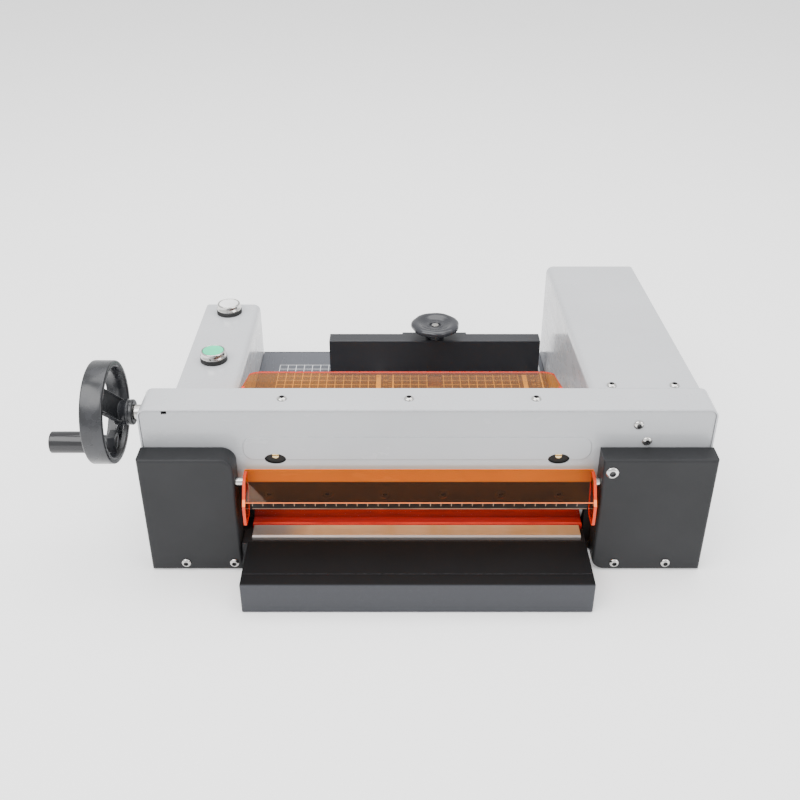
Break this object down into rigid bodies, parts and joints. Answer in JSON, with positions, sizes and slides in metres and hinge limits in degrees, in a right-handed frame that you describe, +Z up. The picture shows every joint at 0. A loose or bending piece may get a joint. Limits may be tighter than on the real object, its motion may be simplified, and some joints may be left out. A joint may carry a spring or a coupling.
{
  "type": "electric guillotine paper cutter",
  "caption": "Desktop electric guillotine for stacks of paper: slanting knife under a hood, handwheel clamp, tinted guards, gridded rear table with back gauge and push buttons.",
  "frame": {"origin": "on the surface the machine stands on (Z = 0), on the middle of the front table in X (X = 0), and 3 mm behind the flat of the lowered knife in Y (Y = 0)", "axes": "+Z up, +X to the operator's right when facing the front, +Y from the operator to the back of the machine"},
  "size_m": [0.6155, 0.4399, 0.2005],
  "materials": {
    "zinc_steel": "zinc plated sheet",
    "foot_rubber": "moulded",
    "cast_bed": "machined and painted grey",
    "ground_steel": "ground",
    "red_stick": "matt, scored by the knife",
    "black_texture": "fine textured black powder coat",
    "grid_table": "satin dark grey with a printed pale grid",
    "dark_steel": "black paint over steel",
    "blade_steel": "ground and honed",
    "black_screw": "black oxide",
    "brass_screw": "turned",
    "scale_black": "black scale with pale ticks",
    "cast_aluminium": "milled",
    "motor_steel": "painted",
    "black_gloss": "high gloss",
    "chrome_screw": "polished",
    "grey_paint": "smooth light grey semi gloss paint",
    "panel_paint": "glossy pale grey",
    "black_cover": "semi gloss black",
    "amber_acrylic": "transparent orange brown acrylic",
    "knob_plastic": "satin moulded",
    "green_plastic": "translucent green",
    "white_plastic": "milky",
    "board_green": "board with components"
  },
  "bodies": {
    "machine": {"base_pan": "zinc_steel", "feet": "foot_rubber", "bed": "cast_bed", "bed_strip": "ground_steel", "cutting_stick": "red_stick", "front_table": "black_texture", "front_apron": "black_texture", "rear_table": "grid_table", "table_rails": "cast_bed", "rear_panel": "black_texture", "left_side_frame": "cast_bed", "right_side_frame": "cast_bed", "cross_beam": "cast_bed", "guide_blocks": "ground_steel", "gearbox": "cast_aluminium", "drive_motor": "motor_steel", "drive_support": "cast_aluminium", "screw_bearings": "cast_bed", "shaft_bushes": "brass_screw", "cover_screws": "chrome_screw", "cover_bolt": "chrome_screw", "hood": "grey_paint", "front_panel": "panel_paint", "left_arm_cover": "grey_paint", "right_arm_cover": "grey_paint", "left_front_cover": "black_cover", "right_front_cover": "black_cover", "rear_guard_brackets": "zinc_steel", "button_gaskets": "black_cover", "button_bezels": "chrome_screw", "contact_blocks": "white_plastic", "transformer": "motor_steel", "control_board": "board_green", "power_inlet": "black_gloss", "switch_body": "black_gloss"},
    "knife": {"knife_carrier": "dark_steel", "knife_blade": "blade_steel", "knife_screws": "black_screw", "knife_adjusters": "brass_screw", "scale_strip": "scale_black", "knife_rack": "ground_steel"},
    "pinion": {"drive_pinion": "ground_steel"},
    "clamp": {"clamp_bar": "cast_aluminium", "clamp_nuts": "brass_screw"},
    "wheel": {"clamp_shaft": "ground_steel", "shaft_gears": "ground_steel", "handwheel": "black_gloss", "handle_spindle": "ground_steel"},
    "grip": {"handle_grip": "black_gloss"},
    "left_screw": {"left_lead_screw": "ground_steel"},
    "right_screw": {"right_lead_screw": "ground_steel"},
    "front_shield": {"front_guard": "amber_acrylic", "front_guard_pins": "ground_steel"},
    "rear_shield": {"rear_guard": "amber_acrylic"},
    "gauge": {"gauge_fence": "black_texture", "gauge_slide": "ground_steel"},
    "knob": {"gauge_knob": "knob_plastic"},
    "green": {"green_button": "green_plastic"},
    "white": {"white_button": "white_plastic"},
    "rocker": {"switch_rocker": "black_gloss"}
  },
  "joints": [
    {"name": "knife_slide", "type": "slide", "parent": "machine", "child": "knife", "axis": [-0.342, 0, 0.9397], "range_m": [0, 0.045]},
    {"name": "pinion_turn", "type": "hinge", "parent": "machine", "child": "pinion", "pos_m": [0.22716, -0.01, 0.10279], "axis": [0, 1, 0], "range_deg": [0, 185]},
    {"name": "wheel_turn", "type": "hinge", "parent": "machine", "child": "wheel", "pos_m": [-0.2, 0.004, 0.1525], "axis": [1, 0, 0], "range_deg": [0, 940]},
    {"name": "clamp_slide", "type": "slide", "parent": "machine", "child": "clamp", "axis": [0, 0, 1], "range_m": [0, 0.042]},
    {"name": "left_screw_turn", "type": "hinge", "parent": "machine", "child": "left_screw", "pos_m": [-0.238, 0.004, 0.08], "axis": [0, 0, 1], "range_deg": [0, 945]},
    {"name": "right_screw_turn", "type": "hinge", "parent": "machine", "child": "right_screw", "pos_m": [0.188, 0.004, 0.08], "axis": [0, 0, 1], "range_deg": [0, 945]},
    {"name": "grip_spin", "type": "hinge", "parent": "wheel", "child": "grip", "pos_m": [-0.32, 0.004, 0.119], "axis": [1, 0, 0], "continuous": true},
    {"name": "front_shield_hinge", "type": "hinge", "parent": "machine", "child": "front_shield", "pos_m": [0.002, -0.0315, 0.0995], "axis": [-1, 0, 0], "range_deg": [0, 80]},
    {"name": "rear_shield_hinge", "type": "hinge", "parent": "machine", "child": "rear_shield", "pos_m": [-0.014, 0.0245, 0.148], "axis": [1, 0, 0], "range_deg": [0, 50]},
    {"name": "gauge_travel", "type": "slide", "parent": "machine", "child": "gauge", "axis": [0, 1, 0], "range_m": [-0.225, 0.025]},
    {"name": "knob_turn", "type": "hinge", "parent": "gauge", "child": "knob", "pos_m": [0.026, 0.283, 0.095], "axis": [0, 0, 1], "continuous": true},
    {"name": "green_press", "type": "slide", "parent": "machine", "child": "green", "axis": [0, 0, -1], "range_m": [0, 0.0025], "stiffness_N_per_m": 400, "springref_m": -0.001},
    {"name": "white_press", "type": "slide", "parent": "machine", "child": "white", "axis": [0, 0, -1], "range_m": [0, 0.0025], "stiffness_N_per_m": 400, "springref_m": -0.001},
    {"name": "rocker_tilt", "type": "hinge", "parent": "machine", "child": "rocker", "pos_m": [0.2, 0.337, 0.042], "axis": [0, 0, 1], "range_deg": [0, 18]}
  ],
  "couplings": [
    {"joint": "pinion_turn", "follows": "knife_slide", "rad_per_m": 71.429},
    {"joint": "clamp_slide", "follows": "wheel_turn", "m_per_rad": 0.0025465},
    {"joint": "left_screw_turn", "follows": "wheel_turn", "ratio": 1},
    {"joint": "right_screw_turn", "follows": "wheel_turn", "ratio": 1}
  ]
}
